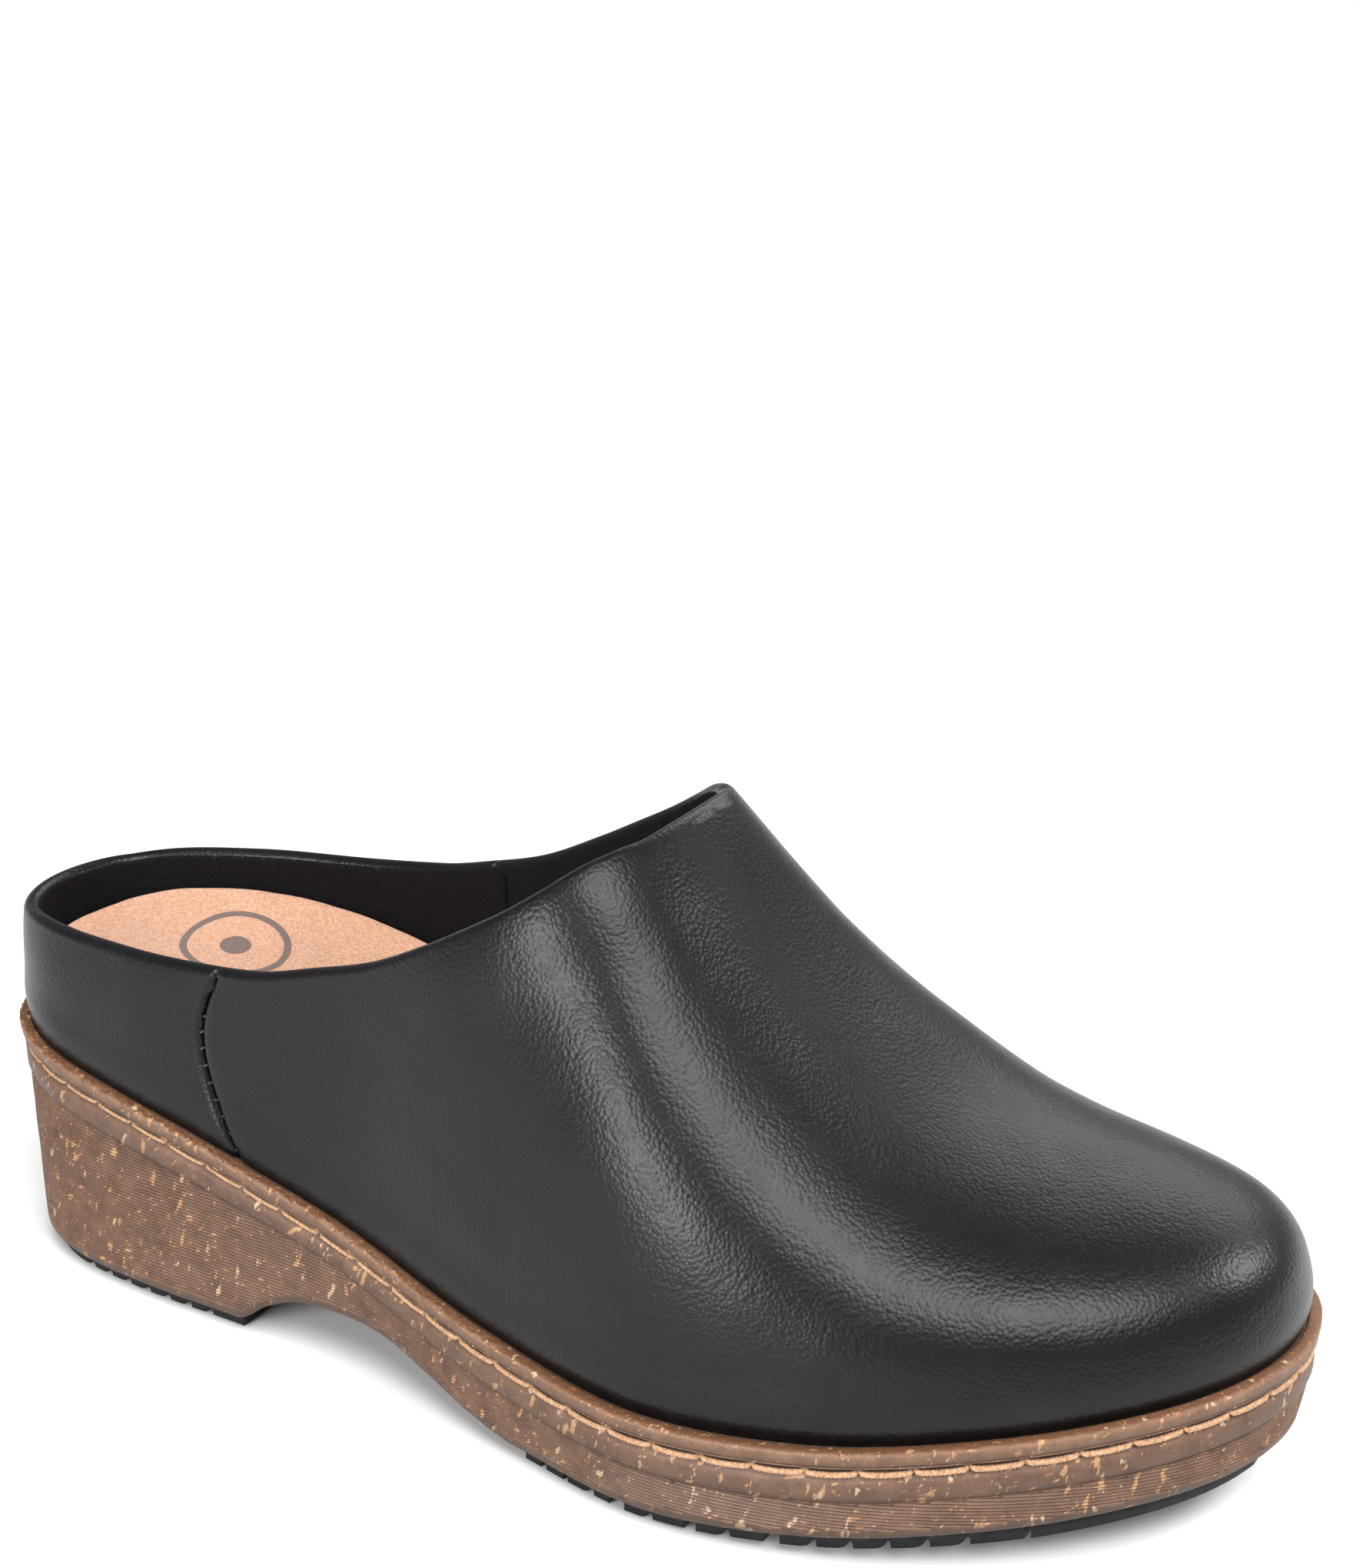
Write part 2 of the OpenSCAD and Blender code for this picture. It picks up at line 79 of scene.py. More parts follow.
RIB = 0.76              # pitch of the fine ribs on the side of the base
RIB_DEPTH = 0.27

FORE = 140.0            # where the forefoot begins
HEEL_END = 60.0         # where the rounding of the heel ends
TOE_PULL = 46.0         # how far the toe's columns lean back to the ridge
HEEL_PULL = 40.0        # how far the heel's columns lean forward to the ridge

SIDE_STEP = 15          # degrees of outline angle between the half widths below
SIDE_OUTER = [-4, -19.6, -29.8, -34.2, -35.8, -38.2, -46.6, -53.8, -49.9, -38.4, -22.9, -5.7, 12.4]
SIDE_INNER = [-4, 12.8, 23.8, 33.4, 37.6, 34, 34.4, 43, 49.7, 47.2, 40.4, 29.8, 12.4]
SIDES = np.array(SIDE_OUTER + SIDE_INNER[-2:0:-1], float)


def hermite(a, b, slope_a, slope_b, h, u):
    return ((2 * u**3 - 3 * u**2 + 1) * a + (u**3 - 2 * u**2 + u) * h * slope_a
            + (3 * u**2 - 2 * u**3) * b + (u**3 - u**2) * h * slope_b)


def table(*pairs):
    """A smooth curve through pairs of a place and a value, level beyond its ends."""
    xs, ys = np.array(pairs, float).T
    rise = np.diff(ys) / np.diff(xs)
    slopes = np.concatenate([rise[:1], (ys[2:] - ys[:-2]) / (xs[2:] - xs[:-2]), rise[-1:]])

    def value(x):
        x = np.clip(np.asarray(x, float), xs[0], xs[-1])
        i = np.clip(np.searchsorted(xs, x, side="right") - 1, 0, len(xs) - 2)
        h = xs[i + 1] - xs[i]
        return hermite(ys[i], ys[i + 1], slopes[i], slopes[i + 1], h, (x - xs[i]) / h)

    return value


rand_top = table((0, 52), (40, 45.8), (80, 36.6), (120, 27.2), (160, 23.4), (200, 24.8),
                 (235, 29), (268.4, 33.4))
rocker = table((140, 0), (165, 0), (178, 0.6), (205, 2.7), (235, 5.8), (255, 8.4), (268.4, 10))
arch = table((60, 0), (65, 0.4), (71, 4.6), (79, 8.2), (90, 9.4), (101, 8.8), (112, 5.8),
             (124, 2.2), (134, 0.2), (140, 0))
tread_growth = table((0, 1), (160, 1), (200, 1.1), (235, 1.36), (268.4, 1.36))
topline = table((0, 76.2), (10, 77.3), (25, 77.6), (50, 78.2), (70, 80.4), (83, 84), (98, 89),
                (112, 96.2), (121, 101.4), (130, 106.8), (137, 111.6), (142, 115.2),
                (146, 117.1), (149, 118), (153, 121.2), (175, 150))
ridge = table((0, 108), (50, 112), (80, 133), (110, 149.5), (130, 140), (150, 119.1),
              (170, 96.5), (190, 78.6), (210, 66), (235, 60.6), (268.4, 60))
ridge_y = table((48, 0), (120, 2.7), (170, 5.7), (225, 15.8))
footbed_edge = table((0, 66.5), (12, 68.8), (25, 69), (40, 67.2), (52, 65), (65, 62),
                     (78, 58.4), (100, 50), (130, 38.6), (160, 31.4), (200, 30.4),
                     (235, 33.6), (268.4, 37.6))
footbed_cup = table((0, 0.9), (40, 1), (80, 0.9), (120, 0.6), (160, 0.3), (268.4, 0.2))


def cos_d(a):
    return np.cos(np.radians(a))


def sin_d(a):
    return np.sin(np.radians(a))


def unit(v):
    return v / np.maximum(np.linalg.norm(v, axis=-1, keepdims=True), 1e-12)


# ---------------------------------------------------------------- outline and upper surface

def outline(a):
    """Where the upper meets the base. Angle 0 is the heel, 180 the toe, the outer side first."""
    a = np.asarray(a, float)
    k = np.floor(a / SIDE_STEP).astype(int)
    p = [SIDES[(k + j) % len(SIDES)] for j in (-1, 0, 1, 2)]
    y = hermite(p[1], p[2], (p[2] - p[0]) / 2, (p[3] - p[1]) / 2, 1, a / SIDE_STEP - k)
    x = LENGTH / 2 * (1 - cos_d(a)) - HEEL_BACK * ((1 + cos_d(a)) / 2)**2.4
    return np.stack([x, y], -1)


def inward(a):
    d = outline(a + 0.5) - outline(a - 0.5)
    return unit(np.stack([-d[..., 1], d[..., 0]], -1))


def rim(a, inset):
    """A point at a distance inside the outer rim of the base."""
    return outline(a) + (np.asarray(inset) - LEDGE)[..., None] * inward(a)


def angle_of(x):
    a = np.linspace(0, 180, 3601)
    return np.interp(x, outline(a)[:, 0], a)


rim_points = rim(np.arange(0, 360, 4.0), 0.0)
CENTRE = np.array([*(rim_points.max(0) + rim_points.min(0)) / 2, 0])


def ground(x):
    """Height of the underside of the treads, or of the arch where there are none."""
    return np.where(np.asarray(x) < FORE, arch(x), rocker(x))


def bottom(x):
    return TREAD * tread_growth(x) + ground(x)


def spine_x(x):
    """Place on the ridge where the column from a place on the outline ends."""
    toe = np.maximum(0, x - FORE) / (LENGTH - FORE)
    heel = np.maximum(0, HEEL_END - x) / HEEL_END
    return x - TOE_PULL * toe**2.2 + HEEL_PULL * heel**2.2


def powers(s):
    """The two powers that shape a column, which gets fuller towards the toe."""
    w = np.clip((s - FORE) / 80, 0, 1)
    w = w * w * (3 - 2 * w)
    return 2.6 - 0.14 * w, 2.34 + 1.02 * w


def upper(a, r):
    """Outer face of the upper: r is 1 at the rand and 0 along the ridge."""
    a, r = np.broadcast_arrays(np.asarray(a, float), np.asarray(r, float))
    f = outline(a)
    s = spine_x(f[..., 0])
    p, q = powers(s)
    foot = rand_top(f[..., 0])
    x = s + (f[..., 0] - s) * r
    y = ridge_y(s) * (1 - r) + f[..., 1] * r
    rise = (1 - np.clip(r, 0, 1)**p)**(1 / q)
    lean = HEEL_LEAN * np.clip(1 - f[..., 0] / 50, 0, 2)**2 * rise
    return np.stack([x - lean, y, foot + (ridge(x) - foot) * rise], -1)


def upper_normal(a, r):
    a, r = np.broadcast_arrays(np.asarray(a, float), np.asarray(r, float))
    q = np.clip(r, 0.03, 0.985)
    n = unit(np.cross(upper(a + 0.6, q) - upper(a - 0.6, q),
                      upper(a, q - 0.012) - upper(a, q + 0.012)))
    s = spine_x(outline(a)[..., 0])
    top = unit(np.stack([-(ridge(s + 1) - ridge(s - 1)) / 2, 0 * s, 1 + 0 * s], -1))
    w = np.clip(1 - r / 0.03, 0, 1)[..., None]
    return unit(n * (1 - w) + top * w)


def above_topline(a, r, drop):
    p = upper(a, r)
    return p[..., 2] - topline(p[..., 0] - drop) + drop


def edge_r(a, drop):
    """Where a column of the upper meets the topline, lowered by drop; 0 where it doesn't."""
    a = np.asarray(a, float)
    steps = np.arange(0.99, 0, -0.01)
    over = above_topline(a[..., None], steps, drop) >= 0
    hit = over.any(-1)
    lo = steps[over.argmax(-1)]
    hi = lo + 0.01
    for _ in range(16):
        m = (lo + hi) / 2
        up = above_topline(a, m, drop) >= 0
        lo, hi = np.where(up, m, lo), np.where(up, hi, m)
    return np.where(hit, lo, 0)


def throat_angle(drop):
    lo, hi = 85.0, 125.0
    for _ in range(30):
        m = (lo + hi) / 2
        lo, hi = (m, hi) if above_topline(m, 0, drop) >= 0 else (lo, m)
    return hi


# ---------------------------------------------------------------- mesh helpers

def strip_faces(p, q, closed=False):
    """Quads between two rows of point numbers."""
    p, q = np.asarray(p), np.asarray(q)
    n = len(p) if closed else len(p) - 1
    i = np.arange(n)
    k = (i + 1) % len(p)
    return np.stack([p[i], p[k], q[k], q[i]], -1)


def fill(points, ids):
    """Triangles over one flat closed line of point numbers."""
    return [[ids[k] for k in t] for t in tessellate_polygon([[Vector(points[i]) for i in ids]])]


def piece(name, points, faces, material, slot, replaces=(), flip=False):
    """A mesh object of points in mm and faces by number, riding on the shoe."""
    points = (np.asarray(points, float).reshape(-1, 3) - CENTRE) / 1000
    faces = [list(map(int, f)) for f in faces]
    faces = [[k for i, k in enumerate(f) if k != f[i - 1]] for f in faces]
    faces = [f[::-1] if flip else f for f in faces if len(f) > 2]
    used = sorted({k for f in faces for k in f})
    place = {k: i for i, k in enumerate(used)}
    mesh = bpy.data.meshes.new(name)
    mesh.from_pydata([tuple(points[k]) for k in used], [], [[place[k] for k in f] for f in faces])
    mesh.polygons.foreach_set("use_smooth", [True] * len(mesh.polygons))
    mesh.materials.append(material)
    mesh.update()
    obj = bpy.data.objects.new(name, mesh)
    bpy.context.scene.collection.objects.link(obj)
    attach(obj, "root")
    if replaces:
        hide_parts(*replaces)
    return obj


def ripple(p, size, seed=0.0):
    """Smooth wandering values near -1 to 1 whose waves are about size mm long."""
    k = 2 * math.pi / size
    x, y, z = p[..., 0] * k + seed, p[..., 1] * k + 2.1 * seed, p[..., 2] * k - seed
    return (np.sin(x + 1.7 * np.sin(0.61 * y + 0.4 * z + seed))
            + np.sin(0.83 * y - 0.57 * z + 1.3 * np.sin(0.71 * x))
            + np.sin(0.91 * z + 0.43 * x + 1.1 * np.sin(0.53 * y + 1.0))) / 3


def even_angles(inset, n, lo=0.0, hi=360.0):
    """Outline angles at equal distances along the rim, the last one left out."""
    a = np.linspace(lo, hi, 4001)
    p = rim(a, inset)
    s = np.concatenate([[0], np.cumsum(np.linalg.norm(np.diff(p, axis=0), axis=1))])
    return np.interp(np.arange(n) * s[-1] / n, s, a), s[-1]


# ---------------------------------------------------------------- materials

class Shader:
    """A node material with a Principled shader; add() makes a node and links its inputs."""

    def __init__(self, name, **sockets):
        self.material = bpy.data.materials.new(name)
        self.material.use_nodes = True
        self.tree = self.material.node_tree
        self.base = self.tree.nodes["Principled BSDF"]
        for key, value in sockets.items():
            self.set(self.base, key.replace("_", " "), value)

    def set(self, node, key, value):
        socket = node.inputs[key]
        if isinstance(value, bpy.types.NodeSocket):
            self.tree.links.new(value, socket)
        else:
            socket.default_value = value

    def add(self, kind, inputs=None, out=0, **settings):
        node = self.tree.nodes.new("ShaderNode" + kind)
        for key, value in settings.items():
            setattr(node, key, value)
        for key, value in (inputs or {}).items():
            self.set(node, key, value)
        return node.outputs[out]

    def place(self, scale=(1, 1, 1)):
        """Object coordinates in mm, stretched by scale."""
        where = self.add("TexCoord", out="Object")
        return self.add("Mapping", {"Vector": where, "Scale": [1000 * k for k in scale]})

    def turned(self, where, turn, stretch):
        """Coordinates turned by angles, then drawn out so that patterns are stretched."""
        return self.add("Mapping", {"Vector": where, "Rotation": turn, "Scale": stretch},
                        vector_type="TEXTURE")

    def facing(self, axis):
        """How far the surface's own normal points along an axis of the object."""
        normal = self.add("TexCoord", out="Normal")
        return self.add("SeparateXYZ", {"Vector": normal}, out=axis)

    def noise(self, where, size, detail=2.0, rough=0.5, distortion=0.0):
        return self.add("TexNoise", {"Vector": where, "Scale": 1 / size, "Detail": detail,
                                     "Roughness": rough, "Distortion": distortion})

    def cells(self, where, size, out="Distance", **settings):
        return self.add("TexVoronoi", {"Vector": where, "Scale": 1 / size}, out=out, **settings)

    def ramp(self, value, *stops):
        node = self.tree.nodes.new("ShaderNodeValToRGB")
        self.set(node, "Fac", value)
        elements = node.color_ramp.elements
        while len(elements) < len(stops):
            elements.new(0.5)
        for element, (at, colour) in zip(elements, stops):
            element.position = at
            element.color = colour if len(colour) == 4 else (*colour, 1)
        return node.outputs[0]

    def mix(self, fac, a, b, blend="MIX"):
        node = self.tree.nodes.new("ShaderNodeMix")
        node.data_type = "RGBA"
        node.blend_type = blend
        for key, value in ((0, fac), (6, a), (7, b)):
            if isinstance(value, bpy.types.NodeSocket):
                self.tree.links.new(value, node.inputs[key])
            else:
                node.inputs[key].default_value = value if key == 0 else (*value[:3], 1)
        return node.outputs[2]

    def math(self, kind, a, b=0.0):
        node = self.tree.nodes.new("ShaderNodeMath")
        node.operation = kind
        for key, value in ((0, a), (1, b)):
            if isinstance(value, bpy.types.NodeSocket):
                self.tree.links.new(value, node.inputs[key])
            else:
                node.inputs[key].default_value = value
        return node.outputs[0]

    def colour(self, value):
        self.set(self.base, "Base Color", value)

    def roughness(self, value, low, high):
        node = self.add("MapRange", {"Value": value, "To Min": low, "To Max": high})
        self.set(self.base, "Roughness", node)

    def bump(self, *layers):
        """Bump from pairs of a height value and a depth in mm."""
        normal = None
        for height, depth in layers:
            inputs = {"Height": height, "Distance": depth / 1000, "Strength": 1.0}
            if normal is not None:
                inputs["Normal"] = normal
            normal = self.add("Bump", inputs)
        self.set(self.base, "Normal", normal)


def srgb(r, g, b):
    return tuple((c / 255 / 12.92 if c <= 10 else ((c / 255 + 0.055) / 1.055)**2.4)
                 for c in (r, g, b))


def leather_material():
    m = Shader("black_leather", Specular_IOR_Level=0.27)
    at = m.place()
    tone = m.noise(at, 22, 3)
    m.colour(m.ramp(tone, (0.3, srgb(8, 8, 10)), (0.7, srgb(15, 14, 17))))
    pebble = m.cells(at, 0.8, feature="F1")
    fine = m.noise(at, 0.5, 3, 0.6)
    folds = m.noise(m.turned(at, (0, 0.5, 0), (1.0, 1.0, 2.2)), 2.4, 3, distortion=0.5)
    m.roughness(m.noise(at, 7, 3), 0.29, 0.38)
    m.bump((pebble, -0.07), (fine, 0.035), (folds, 0.02))
    return m.material


def composite_material(name, dark, light, ledge=None, chips=1.0):
    m = Shader(name, Specular_IOR_Level=0.4)
    at = m.place()
    tone = m.noise(at, 5, 5, 0.68)
    colour = m.ramp(tone, (0.3, dark), (0.7, light))
    if ledge:
        colour = m.mix(m.ramp(m.facing(2), (0.35, (0, 0, 0)), (0.8, (1, 1, 1))), colour, ledge)
    tints = (srgb(172, 132, 92), srgb(182, 156, 128), srgb(150, 104, 68))
    for size, turn, stretch, cut, tint in (
            (2.4, (0.1, 0.25, 0.4), (1, 1, 3.2), 0.645, 0),
            (2.7, (0.2, -0.5, 2.0), (1, 1, 3.0), 0.66, 1),
            (2.0, (0.5, 1.0, 0.9), (1, 1, 2.8), 0.66, 0),
            (1.4, (0.9, -1.1, 2.8), (1, 1, 2.4), 0.66, 2),
            (0.9, (0.4, 0.5, 1.4), (1, 1, 2.2), 0.67, 0)):
        where = m.turned(at, turn, [size * chips * k for k in stretch])
        flake = m.add("TexNoise", {"Vector": where, "Scale": 1.0, "Detail": 2.5, "Roughness": 0.6})
        mask = m.add("MapRange", {"Value": flake, "From Min": cut, "From Max": cut + 0.03,
                                  "To Max": 0.75})
        colour = m.mix(mask, colour, tints[tint])
    # Painted light and shade: the colour is lightened on faces turned up and darkened on faces turned
    # down, so the fine ribs show as lit and shaded bands.
    painted_light_and_shade = m.ramp(m.math("ADD", m.facing(2), 0.5), (0.05, (0.5, 0.48, 0.46)),
                 (0.5, (0.86, 0.86, 0.86)), (0.9, (1.2, 1.2, 1.2)))
    colour = m.mix(1.0, colour, painted_light_and_shade, "MULTIPLY")
    speck = m.ramp(m.noise(at, 0.45, 3, 0.7), (0.36, (1, 1, 1)), (0.42, (0, 0, 0)))
    colour = m.mix(m.math("MULTIPLY", speck, 0.5), colour, tuple(0.4 * c for c in dark))
    m.colour(colour)
    m.roughness(tone, 0.45, 0.62)
    m.bump((m.noise(at, 1.2, 4), 0.1), (m.noise(at, 0.3, 3), 0.05))
    return m.material


def rubber_material():
    m = Shader("black_rubber", Specular_IOR_Level=0.25)
    at = m.place()
    m.colour(m.ramp(m.noise(at, 5, 4), (0.3, srgb(12, 11, 12)), (0.7, srgb(27, 25, 26))))
    m.roughness(m.noise(at, 2, 3), 0.5, 0.72)
    m.bump((m.noise(at, 0.5, 4), 0.08),)
    return m.material


def nap_material(name, dark, light, size, depth, sheen, mark=False):
    m = Shader(name, Roughness=0.95, Sheen_Weight=sheen, Sheen_Roughness=0.5,
               Specular_IOR_Level=0.15)
    at = m.place()
    cloud = m.noise(at, 5, 5, 0.7)
    fibre = m.noise(at, size, 4, 0.75, 1.2)
    wrinkle = m.noise(m.turned(at, (0, 0, 0.5), (1.0, 2.6, 1.0)), 2.2, 3, 0.6, 0.8)
    colour = m.mix(m.ramp(fibre, (0.35, (0, 0, 0)), (0.65, (1, 1, 1))), dark, light)
    colour = m.mix(m.math("MULTIPLY", cloud, 0.45), colour, dark)
    if mark:
        colour = m.mix(printed_ring(m, fibre), colour, srgb(92, 84, 84))
    m.colour(colour)
    m.bump((wrinkle, 0.35), (fibre, depth), (cloud, 0.3))
    return m.material


def printed_ring(m, fibre):
    """Mask of a plain ring with a dot in it, printed on the heel of the footbed."""
    where = m.add("TexCoord", out="Object")
    split = m.add("SeparateXYZ", {"Vector": where}).node
    centre = (np.array(MARK_AT) - CENTRE[:2]) / 1000
    dx = m.math("SUBTRACT", split.outputs[0], float(centre[0]))
    dy = m.math("SUBTRACT", split.outputs[1], float(centre[1]))
    far = m.math("SQRT", m.math("ADD", m.math("MULTIPLY", dx, dx), m.math("MULTIPLY", dy, dy)))
    off = m.math("ABSOLUTE", m.math("SUBTRACT", far, MARK_R / 1000))
    ring = m.math("LESS_THAN", off, MARK_W / 2000)
    dot = m.math("LESS_THAN", far, MARK_R / 3300)
    worn = m.math("GREATER_THAN", fibre, 0.3)
    return m.math("MULTIPLY", m.math("MAXIMUM", ring, dot), m.math("MULTIPLY", worn, 0.85))


def thread_material(name, dark, light):
    m = Shader(name, Roughness=0.7, Sheen_Weight=0.2)
    at = m.place()
    m.colour(m.ramp(m.noise(at, 0.6, 4), (0.3, dark), (0.7, light)))
    m.bump((m.noise(at, 0.12, 3), 0.05),)
    return m.material


def plain_material(name, dark, light, rough=0.7, size=1.5, depth=0.06, metallic=0.0):
    m = Shader(name, Roughness=rough, Metallic=metallic)
    at = m.place()
    m.colour(m.ramp(m.noise(at, size, 4), (0.3, dark), (0.7, light)))
    m.bump((m.noise(at, size / 3, 3), depth),)
    return m.material


# ---------------------------------------------------------------- base

def sole_body(material):
    """The moulded base: a thread channel, a band, a step and fine ribs down to the tread."""
    a, _ = even_angles(0.0, 720)
    x = rim(a, 0.0)[:, 0]
    top = rand_top(x) - RAND - GAP
    low = bottom(x)
    band = 7.2 - 1.0 * np.exp(-((x - 85) / 30)**2)
    rows = [(10.0, rand_top(x) - RAND - 5), (10.0, top), (0.5, top), (0.42, top - 0.15),
            (0.55, top - 0.35), (1.1, top - 0.65), (1.75, top - 1.05), (2.0, top - 1.6),
            (1.8, top - 2.15), (1.25, top - 2.75), (0.95, top - 3.3), (0.82, top - 4.2),
            (0.8, top - band + 1.2), (0.86, top - band + 0.35), (1.0, top - band),
            (1.9, top - band - 0.12), (2.0, top - band - 0.4), (1.5, top - band - 0.6)]
    rib_top = top - band - 0.65
    rib_low = low + 2.2
    for k in range(int(rib_top.max() / RIB * 2), int(4 / RIB * 2), -1):
        z = np.clip(k * RIB / 2, rib_low, rib_top)
        t = (rib_top - z) / np.maximum(rib_top - rib_low, 0.5)
        inset = 1.4 + 1.0 * t**1.2 + (RIB_DEPTH if k % 2 else 0) * (z < rib_top) * (z > rib_low)
        rows.append((inset, z))
    rows += [(2.4, rib_low), (2.5, low + 1.6), (2.85, low + 0.7), (3.3, low + 0.12), (4.0, low)]
    points = np.array([np.column_stack([rim(a, np.broadcast_to(i, a.shape)),
                                        np.broadcast_to(z, a.shape)]) for i, z in rows])
    grain = ripple(points, 9, 1.0)[..., None] * 0.08
    points[3:-1, :, :2] += grain[3:-1] * inward(a)[None]
    n = len(a)
    same = np.arange(points.shape[0] * n).reshape(-1, n)
    for j in range(1, len(rows)):
        still = np.linalg.norm(points[j] - points[j - 1], axis=1) < 1e-4
        same[j] = np.where(still, same[j - 1], same[j])
    faces = np.concatenate([strip_faces(same[j], same[j + 1], True) for j in range(len(rows) - 1)])
    flat = points.reshape(-1, 3)
    faces = [*faces.tolist(), *ring_cap(same[0]), *ring_cap(same[-1], True)]
    sharpen(piece("sole_body", flat, faces, material, "composite", ["clog_sole"], flip=True))


def sharpen(obj):
    """Flat shading for the low upright faces that make the fine ribs."""
    for face in obj.data.polygons:
        face.use_smooth = not (0.3 < abs(face.normal.z) < 0.75 and face.area < 0.7e-6)


def ring_cap(ids, turned=False):
    """Quads straight across a ring that starts at the heel and has the toe half way."""
    n = len(ids)
    faces = [[ids[0], ids[n - 1], ids[1]]]
    faces += [[ids[i], ids[n - i], ids[n - i - 1], ids[i + 1]] for i in range(1, n // 2 - 1)]
    faces += [[ids[n // 2 - 1], ids[n // 2 + 1], ids[n // 2]]]
    return [f[::-1] if turned else f for f in faces]


def rand(material):
    """The strip around the top edge of the base, rough along its upper edge."""
    a, _ = even_angles(0.0, 1400)
    x = rim(a, 0.0)[:, 0]
    high = rand_top(x)
    rough = 1.15 - 0.85 / (1 + np.exp(-(x - 140) / 14))
    section = [(2.34, -2.9, 0), (2.34, -0.1, 0), (2.2, -0.02, 0.1), (1.6, 0, 0.5), (1.0, 0.04, 0.7),
               (0.55, 0.02, 1), (0.28, -0.12, 1), (0.08, -0.4, 0.8), (0, -0.8, 0.4),
               (0.02, -1.4, 0.2), (0.1, -2.0, 0.1), (0.28, -2.6, 0.1), (0.42, -2.86, 0),
               (0.8, -2.94, 0)]
    rows = []
    for inset, dz, amount in section:
        p = np.column_stack([rim(a, np.full(a.shape, inset)), high + dz])
        fine = (ripple(p * [1, 1, 0.2], 2.3, 2.0 + inset) + ripple(p, 1.1, 5.0 * inset + 1)
                + 0.5 * ripple(p * [1, 1, 0], 4.7, 3.0))
        p[:, 2] += 0.3 * amount * rough * fine
        p[:, :2] -= (0.3 * amount * rough * ripple(p, 1.5, 9.0 + inset))[:, None] * inward(a)
        rows.append(p)
    points = np.array(rows)
    n, m = len(a), len(rows)
    ids = np.arange(m * n).reshape(m, n)
    faces = np.concatenate([strip_faces(ids[j], ids[(j + 1) % m], True) for j in range(m)])
    piece("rand", points, faces, material, "welt_composite", ["welt"])


def tube(path, radius, sides, twist=0.0, lobes=0, lobe_depth=0.0):
    """Points and faces of a tube along a path; with lobes it is a twisted cord."""
    path = np.asarray(path, float)
    tangent = unit(np.gradient(path, axis=0))
    side = unit(np.cross(tangent, [0, 0, 1.0]))
    up = np.cross(side, tangent)
    step = np.concatenate([[0], np.cumsum(np.linalg.norm(np.diff(path, axis=0), axis=1))])
    angle = np.arange(sides) * 2 * math.pi / sides
    turn = np.tile(angle, (len(path), 1))
    r = np.ones_like(turn) * np.asarray(radius, float).reshape(-1, 1)
    if lobes:
        r = r * (1 - lobe_depth * (0.5 + 0.5 * np.cos(lobes * (turn - twist * step[:, None]))))
    points = (path[:, None] + r[..., None] * (np.cos(turn)[..., None] * side[:, None]
                                              + np.sin(turn)[..., None] * up[:, None]))
    m = len(path)
    ids = np.arange(m * sides).reshape(m, sides)
    faces = np.concatenate([strip_faces(ids[j], ids[j + 1], True) for j in range(m - 1)])
    caps = [ids[0].tolist()[::-1], ids[-1].tolist()]
    return points.reshape(-1, 3), [*faces[:, ::-1].tolist(), *[c[::-1] for c in caps]]


def joined(parts):
    """One set of points and faces out of several."""
    points, faces, start = [], [], 0
    for p, f in parts:
        points.append(p)
        faces += [[k + start for k in face] for face in f]
        start += len(p)
    return np.concatenate(points), faces


def rand_thread(material):
    """One twisted cord in the channel, dipping into a hole at the end of each stitch."""
    _, length = even_angles(THREAD_RUN, 10)
    count = round(length / STITCH)
    steps = 44
    a, _ = even_angles(THREAD_RUN, count * steps)
    u = (np.arange(len(a)) % steps) / steps
    dip = np.exp(-((u - 0.5) / 0.052)**2)
    sag = np.sin(math.pi * ((u + 0.5) % 1))
    x = rim(a, np.full(a.shape, THREAD_RUN))[:, 0]
    inset = 0.95 + 0.9 * dip + 0.3 / (1 + np.exp((x - 110) / 12))
    z = rand_top(x) - RAND - GAP - 1.55 + 0.2 - 0.3 * sag + 0.25 * dip
    path = np.column_stack([rim(a, inset), z])
    path = np.vstack([path, path[:1]])
    lay = 2 * math.pi / THREAD_LAY
    thick = 0.48 + 0.15 / (1 + np.exp(-(path[:, 0] - 100) / 16))
    points, faces = tube(path, thick * (1 - 0.25 * np.append(dip, dip[0])), 12, lay, 3, 0.34)
    ring = len(path) - 1
    faces = [f for f in faces if len(f) == 4]
    wrap = {ring * 12 + k: k for k in range(12)}
    faces = [[wrap.get(k, k) for k in f] for f in faces]
    piece("rand_thread", points, faces, material, "welt_thread", ["welt_stitching"])


